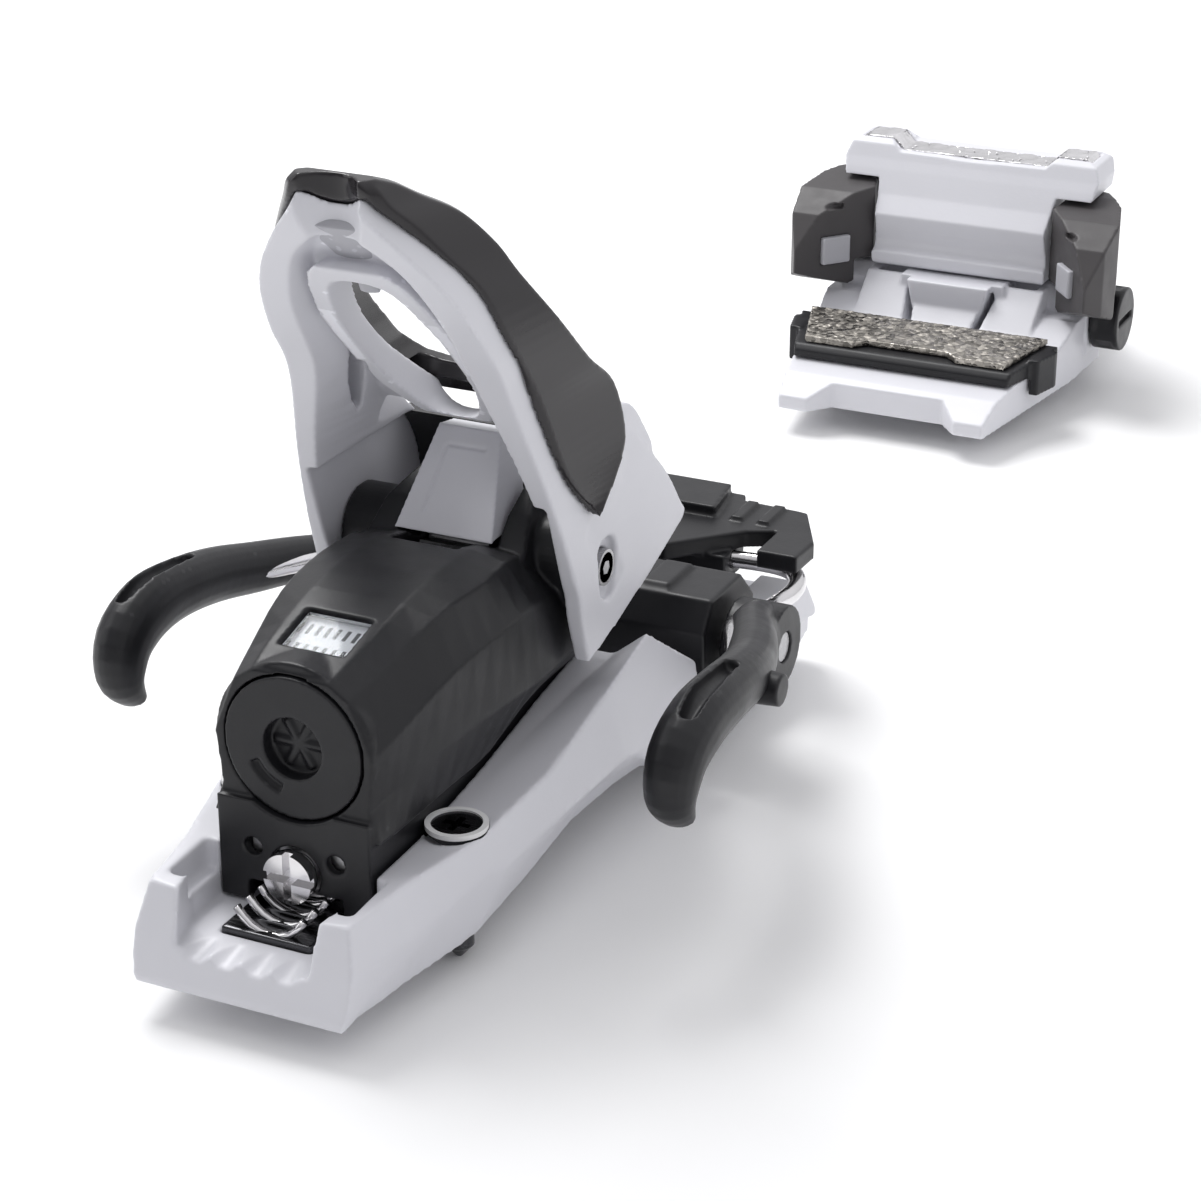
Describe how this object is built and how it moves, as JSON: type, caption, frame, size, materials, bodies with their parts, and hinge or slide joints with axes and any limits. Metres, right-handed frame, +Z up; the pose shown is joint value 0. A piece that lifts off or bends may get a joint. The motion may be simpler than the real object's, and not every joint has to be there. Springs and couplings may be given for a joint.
{
  "type": "alpine ski binding",
  "caption": "Step-in ski binding: toe piece with sprung jaws and slide plate, heel piece with lever, heel cup, length adjuster and ski brake, screwed to one ski.",
  "frame": {"origin": "middle of the heel piece's four mounting screws, at the ski's top surface", "axes": "+Y to the ski's tip, +X to the right seen from behind, +Z up out of the ski"},
  "size_m": [0.126, 0.4285, 0.1421],
  "materials": {
    "white_shell": "satin",
    "white_metal": "satin",
    "smoke_shell": "gloss",
    "black_shell": "satin",
    "dark_grey_shell": "satin",
    "grey_pad": "satin",
    "heel_cup_shell": "satin",
    "steel": "brushed",
    "textured_steel": "embossed",
    "bright_steel": "polished",
    "dark_steel": "satin",
    "spring_steel": "satin",
    "printed_scale": "printed",
    "clear_window": "gloss"
  },
  "bodies": {
    "ski_base": {"heel_track": "white_shell", "heel_rack": "steel", "heel_mounting_screws": "dark_steel", "brake_base": "black_shell", "brake_pivot_pins": "steel", "brake_spring": "spring_steel", "toe_base": "white_shell", "toe_mounting_screws": "dark_steel", "afd_carrier": "black_shell", "afd_plate": "textured_steel", "toe_housing": "white_shell", "toe_top_insert": "bright_steel", "toe_wing_pins": "steel", "toe_spring": "spring_steel", "toe_spring_plug": "steel"},
    "length_adjuster": {"adjuster_bracket": "steel", "forward_pressure_springs": "spring_steel"},
    "length_screw": {"length_adjust_screw": "bright_steel"},
    "heel_body": {"heel_housing": "black_shell", "indicator_scale": "printed_scale", "indicator_window": "clear_window", "heel_release_spring": "spring_steel", "heel_spine": "white_shell", "pivot_bushings": "steel"},
    "heel_dial": {"heel_din_cap": "black_shell"},
    "heel_nut": {"heel_spring_nut": "steel"},
    "heel_piston": {"heel_piston": "steel", "piston_roller": "steel", "piston_roller_pin": "steel"},
    "heel_lever": {"lever_frame": "white_metal", "lever_cover": "smoke_shell", "lever_bridge": "grey_pad", "heel_cup": "heel_cup_shell", "treadle": "black_shell", "lever_cam": "steel", "pivot_axle": "steel", "pivot_screws": "bright_steel"},
    "brake": {"brake_pad_right": "black_shell", "brake_pad_left": "black_shell", "brake_wires": "bright_steel", "brake_knobs": "bright_steel", "brake_pedal": "black_shell"},
    "right_wing": {"toe_wing_right": "dark_grey_shell", "wing_pad_right": "grey_pad"},
    "left_wing": {"toe_wing_left": "dark_grey_shell", "wing_pad_left": "grey_pad"},
    "toe_dial": {"toe_din_cap": "black_shell", "toe_din_screw": "steel"},
    "toe_nut": {"toe_spring_nut": "steel"}
  },
  "joints": [
    {"name": "length_slide", "type": "slide", "parent": "ski_base", "child": "length_adjuster", "axis": [0, 1, 0], "range_m": [-0.004, 0.012]},
    {"name": "length_screw_turn", "type": "hinge", "parent": "length_adjuster", "child": "length_screw", "pos_m": [0, -0.0663, 0.0158], "axis": [0, 1, 0], "range_deg": [-365, 1085]},
    {"name": "forward_pressure", "type": "slide", "parent": "length_adjuster", "child": "heel_body", "axis": [0, 1, 0], "range_m": [-0.004, 0], "deforming": ["forward_pressure_springs"]},
    {"name": "heel_dial_turn", "type": "hinge", "parent": "heel_body", "child": "heel_dial", "pos_m": [0, -0.0651, 0.0395], "axis": [0, 1, 0], "range_deg": [0, 1200]},
    {"name": "heel_nut_travel", "type": "slide", "parent": "heel_body", "child": "heel_nut", "axis": [0, 1, 0], "range_m": [0, 0.005], "deforming": ["heel_release_spring"]},
    {"name": "piston_travel", "type": "slide", "parent": "heel_body", "child": "heel_piston", "axis": [0, 1, 0], "range_m": [-0.0031, 0], "deforming": ["heel_release_spring"]},
    {"name": "lever_hinge", "type": "hinge", "parent": "heel_body", "child": "heel_lever", "pos_m": [0, 0.0033, 0.052], "axis": [1, 0, 0], "range_deg": [0, 38]},
    {"name": "brake_hinge", "type": "hinge", "parent": "ski_base", "child": "brake", "pos_m": [0, 0.0493, 0.02], "axis": [1, 0, 0], "range_deg": [0, 65]},
    {"name": "right_wing_hinge", "type": "hinge", "parent": "ski_base", "child": "right_wing", "pos_m": [0.031, 0.2988, 0.033], "axis": [0, 0, 1], "range_deg": [0, 22]},
    {"name": "left_wing_hinge", "type": "hinge", "parent": "ski_base", "child": "left_wing", "pos_m": [-0.031, 0.2988, 0.033], "axis": [0, 0, 1], "range_deg": [-22, 0]},
    {"name": "toe_dial_turn", "type": "hinge", "parent": "ski_base", "child": "toe_dial", "pos_m": [0.0448, 0.2963, 0.014], "axis": [1, 0, 0], "range_deg": [-1200, 0]},
    {"name": "toe_nut_travel", "type": "slide", "parent": "ski_base", "child": "toe_nut", "axis": [1, 0, 0], "range_m": [0, 0.005], "deforming": ["toe_spring"]}
  ],
  "couplings": [
    {"joint": "length_screw_turn", "follows": "length_slide", "rad_per_m": 1570.8},
    {"joint": "heel_nut_travel", "follows": "heel_dial_turn", "m_per_rad": 0.00023873},
    {"joint": "piston_travel", "follows": "lever_hinge", "m_per_rad": -0.0045234},
    {"joint": "toe_nut_travel", "follows": "toe_dial_turn", "m_per_rad": -0.00023873}
  ]
}
